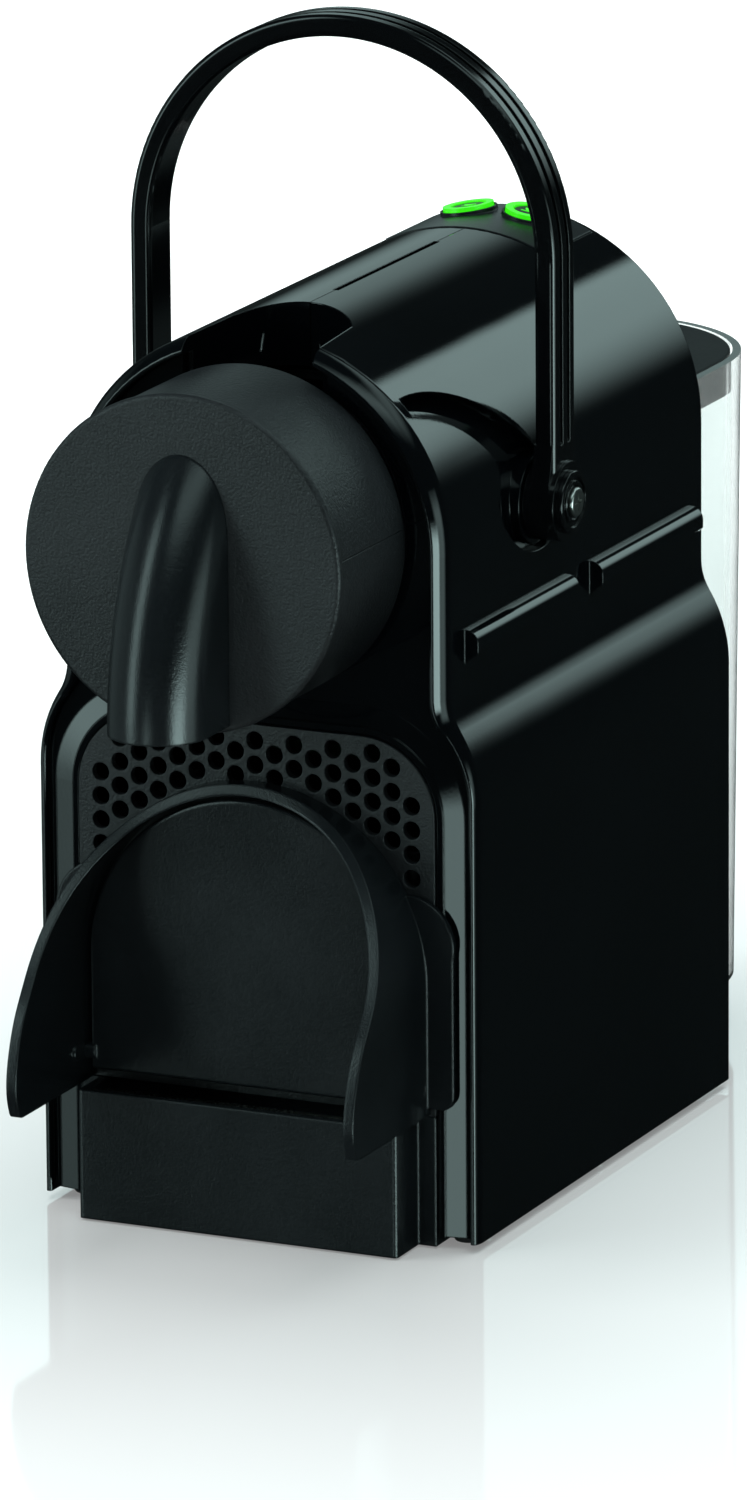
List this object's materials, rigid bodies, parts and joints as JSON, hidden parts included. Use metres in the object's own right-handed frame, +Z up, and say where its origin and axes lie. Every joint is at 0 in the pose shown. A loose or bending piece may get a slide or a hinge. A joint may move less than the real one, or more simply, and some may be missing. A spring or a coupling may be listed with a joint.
{
  "type": "pod coffee machine",
  "caption": "Compact pod coffee machine with a swing-up arch lever, round brew head with curved spout, fold-down cup platform, pull-out drip unit and a clear lift-off water tank behind.",
  "frame": {"origin": "centre of the whole machine's bounding box, on the worktop", "axes": "+X to the right seen from the front, +Y from the front to the tank at the back, +Z up"},
  "size_m": [0.1212, 0.3032, 0.2927],
  "materials": {
    "gloss_black": "polished black plastic",
    "lever_black": "polished black plastic",
    "grain_black": "fine spark-eroded grain",
    "satin_black": "satin black plastic",
    "panel_black": "satin black plastic",
    "green_light": "translucent green light ring",
    "clear_plastic": "clear moulded plastic",
    "steel": "plain steel",
    "inner_grey": "moulded dark grey plastic",
    "soft_rubber": "soft rubber",
    "hose_silicone": "pale silicone hose",
    "pump_metal": "painted pump body",
    "cast_aluminium": "cast aluminium",
    "board_green": "green circuit board laminate"
  },
  "bodies": {
    "housing": {"shell_left": "gloss_black", "shell_right": "gloss_black", "front_panel": "gloss_black", "head_cover_top": "grain_black", "head_cover_bottom": "grain_black", "head_disc": "grain_black", "spout": "satin_black", "spout_nozzle": "inner_grey", "outlet_funnel": "inner_grey", "outlet_plate": "steel", "brew_cage": "inner_grey", "chassis": "inner_grey", "button_panel": "panel_black", "button_board": "board_green", "base_plate": "inner_grey", "feet": "soft_rubber", "shell_screws": "steel", "rear_cover": "inner_grey", "cord_gland": "soft_rubber", "tank_dock": "inner_grey", "pump": "pump_metal", "pump_mounts": "soft_rubber", "thermoblock": "cast_aluminium", "heater_straps": "steel", "circuit_board": "board_green", "board_bracket": "inner_grey", "flow_meter": "inner_grey", "dock_hose": "hose_silicone", "inlet_hose": "hose_silicone", "pump_hose": "hose_silicone", "brew_hose": "hose_silicone"},
    "lever": {"handle_bar": "lever_black", "handle_axles": "steel", "lever_cranks": "steel", "pivot_caps": "lever_black", "handle_screws": "steel"},
    "shutter": {"capsule_shutter": "satin_black"},
    "piston": {"brew_piston": "inner_grey", "piston_seal": "soft_rubber"},
    "left_button": {"button_left": "panel_black", "light_ring_left": "green_light"},
    "right_button": {"button_right": "panel_black", "light_ring_right": "green_light"},
    "drip_unit": {"drip_tray": "satin_black", "drip_grid": "steel", "grille_panel": "grain_black", "cowl": "satin_black", "capsule_container": "satin_black"},
    "platform": {"cup_platform": "satin_black"},
    "tank": {"water_tank": "clear_plastic", "valve_seat": "inner_grey", "valve_cage": "inner_grey", "valve_spring": "steel"},
    "lid": {"tank_lid": "satin_black"},
    "valve": {"valve_plunger": "inner_grey", "valve_seal": "soft_rubber"}
  },
  "joints": [
    {"name": "lever_fold", "type": "hinge", "parent": "housing", "child": "lever", "pos_m": [0, -0.02845, 0.1755], "axis": [1, 0, 0], "range_deg": [0, 64]},
    {"name": "shutter_slide", "type": "slide", "parent": "housing", "child": "shutter", "axis": [0, -1, 0], "range_m": [0, 0.033]},
    {"name": "piston_slide", "type": "slide", "parent": "housing", "child": "piston", "axis": [0, -1, 0], "range_m": [0, 0.022]},
    {"name": "left_button_press", "type": "slide", "parent": "housing", "child": "left_button", "axis": [0.1594, 0, -0.9872], "range_m": [0, 0.0012], "stiffness_N_per_m": 400, "springref_m": -0.001},
    {"name": "right_button_press", "type": "slide", "parent": "housing", "child": "right_button", "axis": [-0.1594, 0, -0.9872], "range_m": [0, 0.0012], "stiffness_N_per_m": 400, "springref_m": -0.001},
    {"name": "drip_unit_slide", "type": "slide", "parent": "housing", "child": "drip_unit", "axis": [0, -1, 0], "range_m": [0, 0.115]},
    {"name": "platform_fold", "type": "hinge", "parent": "drip_unit", "child": "platform", "pos_m": [0, -0.09115, 0.0415], "axis": [1, 0, 0], "range_deg": [0, 90]},
    {"name": "tank_lift", "type": "slide", "parent": "housing", "child": "tank", "axis": [0, 0, 1], "range_m": [0, 0.1]},
    {"name": "lid_lift", "type": "slide", "parent": "tank", "child": "lid", "axis": [0, 0, 1], "range_m": [0, 0.03]},
    {"name": "valve_press", "type": "slide", "parent": "tank", "child": "valve", "axis": [0, 0, 1], "range_m": [0, 0.002], "stiffness_N_per_m": 150, "springref_m": -0.003, "deforming": ["valve_spring"]}
  ],
  "couplings": [
    {"joint": "shutter_slide", "follows": "lever_fold", "m_per_rad": 0.0295},
    {"joint": "piston_slide", "follows": "lever_fold", "m_per_rad": 0.0196}
  ]
}
